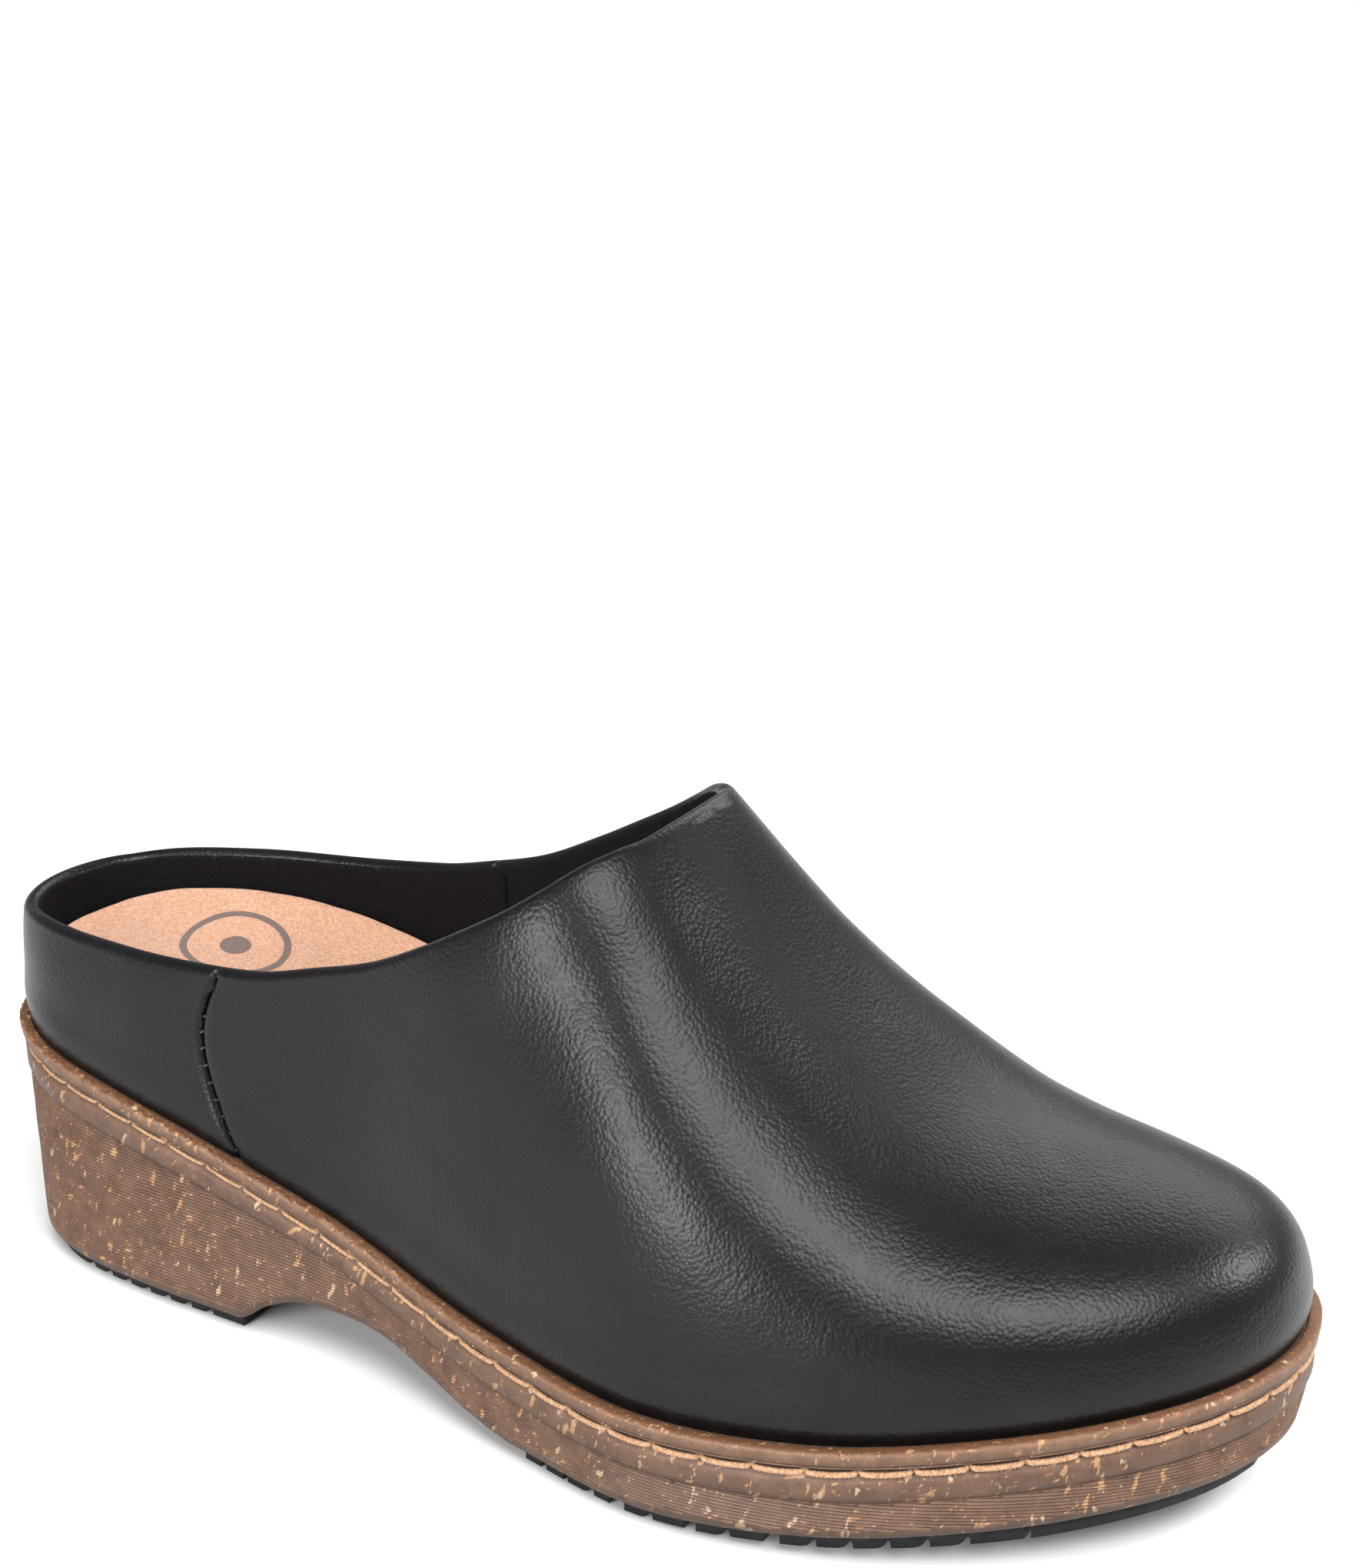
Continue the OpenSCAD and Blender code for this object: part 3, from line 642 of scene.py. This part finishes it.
def tread_block(x0, x1, cuts):
    """A rubber pad under the base; cuts are the starts and ends of the notches across it."""
    xs = [x0, x0 + TREAD_END]
    for n0, n1 in cuts:
        xs += [n0 - 1.6, n0 - 0.6, n0, (n0 + n1) / 2, n1, n1 + 0.25]
    xs += [x1 - TREAD_END, x1]
    xs = np.array(xs)
    extra = np.concatenate([np.linspace(p, q, max(2, int((q - p) / 1.2)))[1:-1]
                            for p, q in zip(xs[:-1], xs[1:])])
    xs = np.unique(np.round(np.concatenate([xs, extra]), 4))
    depth = np.zeros_like(xs)
    for n0, n1 in cuts:
        notch = [n0 - 1.6, n0 - 0.6, n0, (n0 + n1) / 2, n1, n1 + 0.25]
        depth = np.maximum(depth, np.interp(xs, notch, [0, 0.25, 0.7, 1.7, 1.6, 0.1]))
    top = bottom(xs) - GAP
    base = np.where(xs < FORE, 0, rocker(xs))
    across = np.array([-1, -0.97, -0.9, -0.6, -0.2, 0.2, 0.6, 0.9, 0.97, 1])
    edge_lift = np.array([0.15, 0.03, 0, 0, 0, 0, 0, 0, 0.03, 0.15])
    half = angle_of(xs + 1.2 * (xs < 8))
    inset = TREAD_INSET + np.clip((xs - 205) / 60, 0, 1)
    lo = rim(half, inset)
    hi = rim(360 - half, inset)
    rows = []
    for t, lift in zip(across, edge_lift):
        w = (t + 1) / 2
        y = lo[:, 1] * (1 - w) + hi[:, 1] * w
        x = lo[:, 0] * (1 - w) + hi[:, 0] * w
        rows.append(np.column_stack([x, y, np.minimum(base + depth + lift, top - 0.4)]))
    ceiling = [np.column_stack([r[:, :2], top]) for r in rows]
    points = np.array(rows + ceiling[::-1])
    m, n = points.shape[:2]
    ids = np.arange(m * n).reshape(m, n)
    faces = np.concatenate([strip_faces(ids[j], ids[(j + 1) % m]) for j in range(m)]).tolist()
    k = m // 2
    for col, turned in ((0, False), (n - 1, True)):
        cap = [[ids[j, col], ids[m - 1 - j, col], ids[m - 2 - j, col], ids[j + 1, col]]
               for j in range(k - 1)]
        faces += [f if turned else f[::-1] for f in cap]
    return points.reshape(-1, 3), [f[::-1] for f in faces]


def notches(start, pitch=0.0, count=1):
    return [(start + pitch * i, start + pitch * i + NOTCH) for i in range(count)]


def treads(material):
    heel = tread_block(-2.2, 64, notches(20.1, 5.75, 7))
    piece("heel_tread_pad", *heel, material, "tread_rubber", ["heel_tread"])
    bars = [tread_block(139.1, 143.2, []), tread_block(144.5, 149, []),
            tread_block(150, 160.6, notches(155.5))]
    piece("ball_tread_bars", *joined(bars), material, "tread_rubber", ["ball_tread"])
    toe = [tread_block(164, 177.2, notches(169.3)),
           tread_block(179.5, 192.6, notches(185.1)),
           tread_block(195.6, 236.3, notches(201.1, 6.4, 5)),
           tread_block(237.3, 267.4, [])]
    piece("toe_tread_blocks", *joined(toe), material, "tread_rubber", ["toe_tread"])


# ---------------------------------------------------------------- footbed

def footbed_ring(a, r, drop):
    """Points around the footbed: r is 1 at its edge and 0 in the middle, drop is a depth."""
    e = rim(a, np.full(a.shape, FOOTBED_INSET + LEDGE))
    p, q = outline(a), outline(360 - a)
    mid = np.stack([20 + 225 * p[:, 0] / LENGTH, (p[:, 1] + q[:, 1]) * 0.47], -1)
    xy = mid + (e - mid) * r
    z = footbed_edge(xy[:, 0]) - CUP * footbed_cup(xy[:, 0]) * (1 - r**2.4) - drop
    return np.column_stack([xy, z])


def footbed(material):
    a, _ = even_angles(FOOTBED_INSET + LEDGE, 360)
    rows = [footbed_ring(a, r, 0) for r in np.linspace(0.03, 0.955, 46)]
    rows += [footbed_ring(a, 0.975, 0.04), footbed_ring(a, 0.99, 0.16), footbed_ring(a, 1.0, 0.42),
             footbed_ring(a, 1.0, 0.8), footbed_ring(a, 0.995, COVER - 0.05)]
    rows += [footbed_ring(a, r, COVER) for r in (0.97, 0.6, 0.3, 0.03)]
    points = np.array(rows)
    soft = ripple(points, 14, 3.0) * 0.12 + ripple(points, 5, 4.0) * 0.05
    points[:49, :, 2] += np.minimum(soft[:49], 0.1)
    n = len(a)
    ids = np.arange(len(rows) * n).reshape(-1, n)
    faces = np.concatenate([strip_faces(ids[j], ids[j + 1], True) for j in range(len(rows) - 1)])
    faces = [*faces.tolist(), *ring_cap(ids[0]), *ring_cap(ids[-1], True)]
    cover = piece("footbed_covering", points, faces, material, "footbed_nap", ["footbed_cover"],
                  flip=True)


# ---------------------------------------------------------------- upper

def row_r(a, top_r, w):
    """r of the rows of a column, evenly spread along its curve from the rand to its top."""
    p, _ = powers(spine_x(outline(a)[..., 0]))
    end = np.arccos(np.clip(top_r, 0, 1)**(p / 2))
    return np.where(w >= 1, top_r, np.cos(end * w)**(2 / p))


def topline_angles(lo, hi, drop, n):
    """Outline angles whose columns meet the topline at equal distances along it."""
    u = np.linspace(0, 1, 600)
    a = lo + (hi - lo) * (1 - (1 - u)**2.6) if hi > lo and hi > 90 else lo + (hi - lo) * u
    p = upper(a, edge_r(a, drop))
    s = np.concatenate([[0], np.cumsum(np.linalg.norm(np.diff(p, axis=0), axis=1))])
    return np.interp(np.linspace(0, s[-1], n), s, a)


def skin_offset(p, foot, from_seam):
    """How far the leather's outer face stands out from the plain surface."""
    h = p[..., 2] - foot
    tuck = -0.4 * np.exp(-h / 0.8) + 0.5 * np.exp(-((h - 5) / 4.2)**2)
    seam = -0.65 * np.exp(-(from_seam / 0.45)**2) - 0.25 * np.exp(-(from_seam / 1.7)**2)
    wave = 0.1 * ripple(p, 38, 2.0) + 0.05 * ripple(p, 15, 4.0)
    wave = wave + 0.4 * near_line(p, (124, -40, 90), (150, -27, 110), 10)
    wave = wave - 0.35 * near_line(p, (133, -42, 88), (153, -35, 99), 9)
    return tuck + seam + wave * np.clip(h / 6, 0, 1)


def near_line(p, start, end, reach):
    """1 on a straight line between two points, fading to 0 about reach mm away from it."""
    start, way = np.array(start, float), np.array(end, float) - start
    t = np.clip(((p - start) @ way) / (way @ way), 0, 1)
    return np.exp(-(np.linalg.norm(p - start - t[..., None] * way, axis=-1) / reach)**2)


def roll_rows(angles, r, normals_at):
    """Rows of points over the folded edge, from the outer face to the inner one."""
    centre = upper(angles, r) - ROLL * normals_at
    tangent = unit(np.gradient(centre, axis=0))
    up = unit(np.cross(tangent, normals_at))
    up = np.where((up[:, 2] < 0)[:, None], -up, up)
    out = unit(np.cross(up, tangent))
    out = np.where(((out * normals_at).sum(1) < 0)[:, None], -out, out)
    rows = [centre + ROLL * (math.cos(t) * out + math.sin(t) * up)
            for t in np.radians([15, 30, 45, 60, 75, 90, 105, 120, 135, 150, 165])]
    for depth, down in ((3.5, 0.2), (3.46, 0.9), (3.2, 1.5), (2.7, 1.72), (1.86, 1.74)):
        rows.append(centre + (ROLL - depth) * out - down * up)
    return rows


def bent(angles, w):
    """Outline angles of rows of points, bent near the side seams."""
    low, half = SEAM_BEND
    bend = low * (2 * w * w - 3 * w + 1) + half * 4 * (w - w * w)
    turned = np.broadcast_to((angles + 180) % 360 - 180, np.broadcast(angles, w).shape)
    for side, x in ((1, SEAMS[0]), (-1, SEAMS[1])):
        near = np.exp(-((turned - side * angle_of(x)) / 9)**2)
        angles = angles + side * bend * near
    return angles


def panel(angles, tops, mirror_from, rows, inner_rows):
    """Closed leather panel: outer face, folded edge, inner face, foot and two seam ends.
    Columns from mirror_from to its mirror image reach the ridge and share their top points."""
    n = len(angles)
    w = np.linspace(0, 1, rows + 1)[:, None]
    a = bent(angles[None], w)
    r = row_r(a, tops[None], w)
    p = upper(a, r)
    foot = rand_top(outline(a)[..., 0])
    ends = np.minimum(np.linalg.norm(p - p[:, :1], axis=-1), np.linalg.norm(p - p[:, -1:], axis=-1))
    lift = skin_offset(p, foot, ends)
    lift *= np.clip((1 - w) * 14, 0, 1)**0.5 * (tops > 0)[None] + (tops <= 0)[None]
    outer = p + lift[..., None] * upper_normal(a, r)
    outer[..., 2] = np.maximum(outer[..., 2], foot)
    wi = np.linspace(0, 1, inner_rows + 1)[:, None]
    a = bent(angles[None], wi)
    ri = row_r(a, tops[None], wi)
    inner = upper(a, ri) - LEATHER * upper_normal(a, ri)
    inner[..., 2] = np.maximum(inner[..., 2], rand_top(outline(a)[..., 0]))
    points = [outer.reshape(-1, 3), inner.reshape(-1, 3)]
    out_ids = np.arange((rows + 1) * n).reshape(rows + 1, n)
    in_ids = np.arange((inner_rows + 1) * n).reshape(inner_rows + 1, n) + out_ids.size
    start = out_ids.size + in_ids.size
    if mirror_from is not None:
        for j in range(n // 2 + 1, n - mirror_from):
            out_ids[-1, j] = out_ids[-1, n - 1 - j]
            in_ids[-1, j] = in_ids[-1, n - 1 - j]
        line = [*range(mirror_from + 1), *range(n - mirror_from, n)]
    else:
        line = list(range(n))
    edge = np.array(roll_rows(angles[line], tops[line], upper_normal(angles[line], tops[line])))
    points.append(edge.reshape(-1, 3))
    edge_ids = np.arange(edge.shape[0] * edge.shape[1]).reshape(edge.shape[:2]) + start
    in_top = in_ids[-1][line]
    points = np.concatenate(points)
    points[in_top] = edge[-1]
    edge_ids[-1] = in_top
    faces = [strip_faces(out_ids[j], out_ids[j + 1]) for j in range(rows)]
    faces += [strip_faces(in_ids[j + 1], in_ids[j]) for j in range(inner_rows)]
    faces += [strip_faces(out_ids[-1][line], edge_ids[0])]
    faces += [strip_faces(edge_ids[j], edge_ids[j + 1]) for j in range(len(edge) - 1)]
    faces += [strip_faces(in_ids[0], out_ids[0])]
    faces = np.concatenate(faces).tolist()
    for col, e in ((0, 0), (n - 1, -1)):
        loop = [*out_ids[:, col], *edge_ids[:-1, e], *in_ids[::-1, col]]
        faces += fill(points, [int(k) for k in loop])
    return points, faces


def vamp_columns(drop, joints, shift, n_side, n_front):
    """Angles of the vamp's columns, their tops, and the last one that meets the topline."""
    apex = throat_angle(drop)
    u = np.arange(1, n_front + 1) / n_front
    front = apex + (180 - apex) * (0.55 * u + 0.45 * u**1.5)
    halves = []
    for x in joints:
        side = topline_angles(angle_of(x + shift), apex, drop, n_side)
        side[-1] = apex
        tops = np.concatenate([edge_r(side[:-1], drop), [0], 0 * front])
        halves.append((np.concatenate([side, front]), tops))
    (outer, outer_tops), (inner, inner_tops) = halves
    angles = np.concatenate([outer, 360 - inner[-2::-1]])
    return angles, np.concatenate([outer_tops, inner_tops[-2::-1]]), n_side - 1


def back_columns(drop, joints, shift, n):
    """Angles of the columns around the heel, and their tops."""
    outer, inner = [np.linspace(0, angle_of(x - shift), n) for x in joints]
    angles = np.concatenate([-inner[:0:-1], outer])
    return angles, edge_r(angles, drop)


def tidy_normals(obj):
    """Faces of a closed piece all turned outwards."""
    b = bmesh.new()
    b.from_mesh(obj.data)
    bmesh.ops.recalc_face_normals(b, faces=b.faces)
    b.to_mesh(obj.data)
    b.free()


def leather_upper(material):
    angles, tops, m = vamp_columns(ROLL, SEAMS, SEAM_GAP, 130, 110)
    points, faces = panel(angles, tops, m, 78, 14)
    tidy_normals(piece("vamp_skin", points, faces, material, "upper_leather",
                       ["vamp", "topline_roll"]))
    angles, tops = back_columns(ROLL, SEAMS, SEAM_GAP, 90)
    points, faces = panel(angles, tops, None, 40, 8)
    tidy_normals(piece("quarter_skin", points, faces, material, "upper_leather", ["quarter"]))


def shell(angles, tops, mirror_from, rows, outer_depth, inner_depth, rough):
    """Closed shell between two depths under the upper's outer face, with a rough inner face."""
    n = len(angles)
    w = np.linspace(0, 1, rows + 1)[:, None]
    r = row_r(angles[None], tops[None], w)
    foot = rand_top(outline(angles)[:, 0])[None]
    p = upper(angles[None], r)
    normal = upper_normal(np.broadcast_to(angles[None], r.shape), r)
    below = np.clip(topline(p[..., 0]) - p[..., 2], 0, ROLL)
    over = np.where(tops[None] > 0, ROLL - np.sqrt(ROLL**2 - (ROLL - below)**2), 0)
    layers = []
    for depth, shake in ((outer_depth, 0), (inner_depth, rough)):
        nap = shake * np.minimum(0, ripple(p, 1.9, 3.0))
        q = p - (depth + nap - over)[..., None] * normal
        q[..., 2] = np.maximum(q[..., 2], foot)
        layers.append(q.reshape(-1, 3))
    ids = np.arange(2 * (rows + 1) * n).reshape(2, rows + 1, n)
    if mirror_from is not None:
        for j in range(n // 2 + 1, n - mirror_from):
            ids[:, -1, j] = ids[:, -1, n - 1 - j]
    faces = [strip_faces(ids[0, j], ids[0, j + 1]) for j in range(rows)]
    faces += [strip_faces(ids[1, j + 1], ids[1, j]) for j in range(rows)]
    faces += [strip_faces(ids[1, 0], ids[0, 0])]
    if mirror_from is None:
        lines = [list(range(n))]
    else:
        lines = [[*range(mirror_from + 1)], [*range(n - 1 - mirror_from, n)]]
    for line in lines:
        faces += [strip_faces(ids[0, -1][line], ids[1, -1][line])]
    for col in (0, n - 1):
        faces += [strip_faces(ids[1, :, col], ids[0, :, col])]
    return np.concatenate(layers), np.concatenate(faces).tolist()


def linings(material):
    deep = LINING_DEPTH + LINING
    angles, tops, m = vamp_columns(LINING_DROP, LINING_JOINTS, LINING_GAP, 90, 60)
    points, faces = shell(angles, tops, m, 50, LINING_DEPTH, deep, LINING_NAP)
    tidy_normals(piece("vamp_lining_nap", points, faces, material, "lining", ["vamp_lining"]))
    angles, tops = back_columns(LINING_DROP, LINING_JOINTS, LINING_GAP, 90)
    points, faces = shell(angles, tops, None, 30, LINING_DEPTH, deep, LINING_NAP)
    tidy_normals(piece("quarter_lining_nap", points, faces, material, "lining",
                       ["quarter_lining"]))


def seam_loops(material):
    """Small stitches that bridge the gap of each side seam."""
    parts = []
    for side, x in ((1, SEAMS[0]), (-1, SEAMS[1])):
        w = np.linspace(0, 1, 400)
        a = bent(np.full(400, side * angle_of(x)), w)
        r = row_r(a, edge_r(a[-1:], 2 * ROLL + 1)[0], w)
        line = upper(a, r)
        s = np.concatenate([[0], np.cumsum(np.linalg.norm(np.diff(line, axis=0), axis=1))])
        for at in np.arange(2.2, s[-1] - 1, SEAM_STITCH):
            path = []
            for t, depth in ((-1, 1.3), (-0.6, 0.85), (0, 0.7), (0.6, 0.85), (1, 1.3)):
                rr = np.interp(at + 0.5 * t, s, r)
                aa = np.interp(at, s, a) + side * 0.45 * t
                path.append(upper(aa, rr) - depth * upper_normal(aa, rr))
            parts.append(tube(np.array(path), 0.22, 8))
    points, faces = joined(parts)
    tidy_normals(piece("seam_loops", points, faces, material, "black_thread",
                       ["seam_stitching"]))


# ---------------------------------------------------------------- scene

def camera():
    azimuth, elevation, distance = math.radians(29.38), math.radians(19.99), 0.51292
    target = Vector(((153.9 - CENTRE[0]) / 1000, (-13.0 - CENTRE[1]) / 1000, 0.12741))
    back = Vector((math.sin(azimuth) * math.cos(elevation),
                   -math.cos(azimuth) * math.cos(elevation), math.sin(elevation)))
    data = bpy.data.cameras.new("camera")
    data.sensor_width = 36
    data.lens = 65.39
    data.clip_start, data.clip_end = 0.01, 60
    obj = bpy.data.objects.new("camera", data)
    bpy.context.scene.collection.objects.link(obj)
    obj.location = target + back * distance
    obj.rotation_mode = "QUATERNION"
    obj.rotation_quaternion = (-back).to_track_quat("-Z", "Y")
    bpy.context.scene.camera = obj


def area_light(name, at, size, power, target=(0, 0, 0.05)):
    data = bpy.data.lights.new(name, "AREA")
    data.shape = "RECTANGLE"
    data.size, data.size_y = size
    data.energy = power
    obj = bpy.data.objects.new(name, data)
    bpy.context.scene.collection.objects.link(obj)
    obj.location = at
    obj.rotation_mode = "QUATERNION"
    obj.rotation_quaternion = (Vector(target) - Vector(at)).to_track_quat("-Z", "Y")


def sun(name, azimuth, elevation, spread, strength):
    """A far, soft, round light; azimuth is measured from the toe's side."""
    data = bpy.data.lights.new(name, "SUN")
    data.energy = strength
    data.angle = math.radians(spread)
    obj = bpy.data.objects.new(name, data)
    bpy.context.scene.collection.objects.link(obj)
    towards = Vector((cos_d(azimuth) * cos_d(elevation), sin_d(azimuth) * cos_d(elevation),
                      sin_d(elevation)))
    obj.rotation_mode = "QUATERNION"
    obj.rotation_quaternion = (-towards).to_track_quat("-Z", "Y")


def studio():
    world = bpy.data.worlds.new("studio")
    world.use_nodes = True
    world.node_tree.nodes["Background"].inputs[0].default_value = (1, 1, 1, 1)
    world.node_tree.nodes["Background"].inputs[1].default_value = 0.36
    bpy.context.scene.world = world
    bpy.context.scene.view_settings.view_transform = "Standard"
    m = Shader("pale_floor", Roughness=0.9, Specular_IOR_Level=0.1)
    m.colour(m.ramp(m.noise(m.place(), 400, 2), (0.3, (0.84, 0.84, 0.84)), (0.7, (0.86, 0.86, 0.86))))
    mesh = bpy.data.meshes.new("floor")
    mesh.from_pydata([(-30, -30, 0), (30, -30, 0), (30, 30, 0), (-30, 30, 0)], [], [(0, 1, 2, 3)])
    mesh.materials.append(m.material)
    floor = bpy.data.objects.new("floor", mesh)
    floor.location.z = -0.0003
    bpy.context.scene.collection.objects.link(floor)
    sun("key", -40, 55, 36, 3.4)
    area_light("flank", (-0.2, -1.2, 0.42), (0.34, 0.62), 14, (0.02, -0.04, 0.07))
    area_light("toe", (0.32, 0.15, 0.24), (0.1, 0.1), 0.6, (0.13, 0, 0.05))
    area_light("back", (0.0, 1.3, 0.95), (1.2, 0.6), 8)


def finish_hidden(materials):
    """Materials for the inner parts, which keep their own meshes."""
    for node, material in materials.items():
        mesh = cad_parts[node].data
        mesh.materials.clear()
        mesh.materials.append(material)


camera()
leather = leather_material()
black_nap = nap_material("lining_nap", srgb(4, 4, 5), srgb(34, 31, 31), 0.45, 0.3, 0.0)
tan_nap = nap_material("footbed_nap", srgb(186, 130, 100), srgb(244, 200, 170), 0.6, 0.3, 0.2, True)
composite = composite_material("composite", srgb(78, 55, 42), srgb(106, 80, 63))
rand_composite = composite_material("rand_composite", srgb(100, 72, 54), srgb(128, 98, 77),
                                    srgb(100, 68, 47), 0.75)
rubber = rubber_material()

sole_body(composite)
rand(rand_composite)
rand_thread(thread_material("tan_thread", srgb(146, 106, 74), srgb(202, 160, 122)))
treads(rubber)
footbed(tan_nap)
leather_upper(leather)
linings(black_nap)
seam_loops(thread_material("black_thread", srgb(20, 20, 20), srgb(52, 50, 50)))

# The insole board's own brown is darkened to paint the shade in the narrow crevice between the
# leather and the rand, where a thin strip of the board shows.
board = plain_material("board", srgb(70, 52, 40), srgb(96, 74, 58))
cork = plain_material("cork", srgb(96, 74, 56), srgb(150, 120, 92), 0.85, 1.6, 0.2)
foam = plain_material("foam", srgb(214, 200, 170), srgb(232, 220, 194), 0.9, 0.5, 0.1)
stiff = plain_material("stiffener", srgb(180, 176, 164), srgb(206, 202, 190), 0.8)
tape = plain_material("seam_tape", srgb(22, 22, 24), srgb(40, 40, 42), 0.8, 0.5, 0.05)
steel = plain_material("steel", (0.42, 0.43, 0.45), (0.55, 0.56, 0.58), 0.35, 4, 0.02, 1.0)
finish_hidden({"shank": steel, "bottom_filler": cork, "insole_board": board,
               "footbed_core": cork, "footbed_foam": foam, "toe_puff": stiff,
               "heel_counter": stiff, "seam_tape_outer": tape, "seam_tape_inner": tape})
studio()
